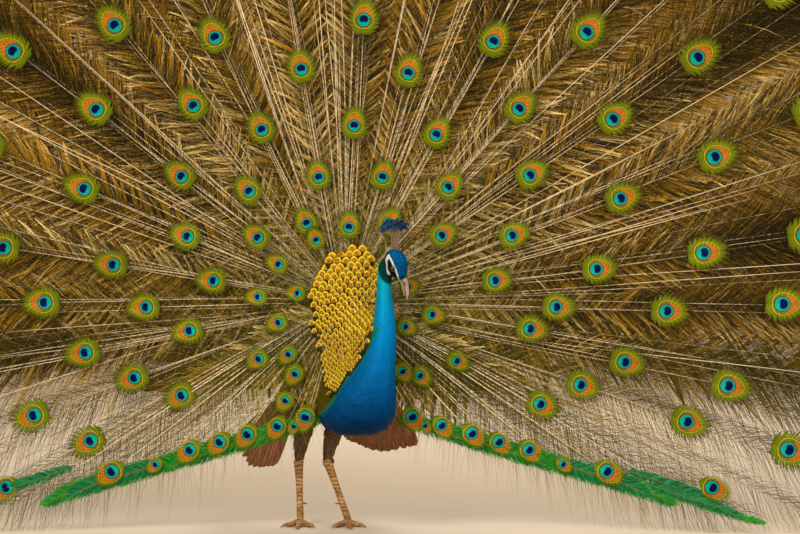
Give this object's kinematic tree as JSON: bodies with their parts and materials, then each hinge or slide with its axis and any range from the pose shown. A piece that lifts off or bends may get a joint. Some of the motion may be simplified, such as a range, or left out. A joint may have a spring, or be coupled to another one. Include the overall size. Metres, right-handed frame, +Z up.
{
  "type": "displaying peacock",
  "caption": "Standing male Indian peafowl in full display, its eyed train raised in a wide fan behind a blue neck and a shield of gold scales.",
  "frame": {"origin": "on the floor, under the middle of the bird's bounding box", "axes": "+Z up; the bird faces -Y, and its own right side is at -X"},
  "size_m": [2.8402, 0.4856, 1.9301],
  "materials": {
    "blue_plumage": "dense velvety blue feathers over flesh",
    "head_plumage": "short glittering blue feathers with bare white skin on the face",
    "gold_scales": "overlapping gold feathers with dark edges",
    "horn": "smooth pale horn",
    "eye": "wet, glossy dark brown",
    "crest": "bare pale shafts with blue-black tips",
    "leg_plumage": "grey-brown down over flesh",
    "leg_scales": "tan scutes, slightly rough",
    "barred_plumage": "buff and black barred feathers over the wing",
    "chestnut_quills": "chestnut flight feathers",
    "train_bronze": "loose bronze and green barbs with eyespots",
    "train_green": "loose green barbs with small eyespots",
    "tail_brown": "stiff grey-brown feathers"
  },
  "bodies": {
    "root": {"bill_lower": "horn", "bill_upper": "horn", "crest": "crest", "eye_left": "eye", "eye_right": "eye", "foot_left": "leg_scales", "foot_right": "leg_scales", "head": "head_plumage", "neck_lower": "blue_plumage", "neck_upper": "blue_plumage", "primaries_left": "chestnut_quills", "primaries_right": "chestnut_quills", "rump": "gold_scales", "shank_left": "leg_scales", "shank_right": "leg_scales", "tail_left": "tail_brown", "tail_right": "tail_brown", "thigh_left": "leg_plumage", "thigh_right": "leg_plumage", "train_long_left_1": "train_bronze", "train_long_left_2": "train_bronze", "train_long_left_3": "train_bronze", "train_long_left_4": "train_bronze", "train_long_left_5": "train_bronze", "train_long_right_1": "train_bronze", "train_long_right_2": "train_bronze", "train_long_right_3": "train_bronze", "train_long_right_4": "train_bronze", "train_long_right_5": "train_bronze", "train_middle_left_1": "train_bronze", "train_middle_left_2": "train_bronze", "train_middle_left_3": "train_bronze", "train_middle_left_4": "train_bronze", "train_middle_left_5": "train_bronze", "train_middle_right_1": "train_bronze", "train_middle_right_2": "train_bronze", "train_middle_right_3": "train_bronze", "train_middle_right_4": "train_bronze", "train_middle_right_5": "train_bronze", "train_short_left_1": "train_green", "train_short_left_2": "train_green", "train_short_left_3": "train_green", "train_short_left_4": "train_green", "train_short_right_1": "train_green", "train_short_right_2": "train_green", "train_short_right_3": "train_green", "train_short_right_4": "train_green", "trunk": "blue_plumage", "wing_left": "barred_plumage", "wing_right": "barred_plumage"}
  },
  "joints": []
}
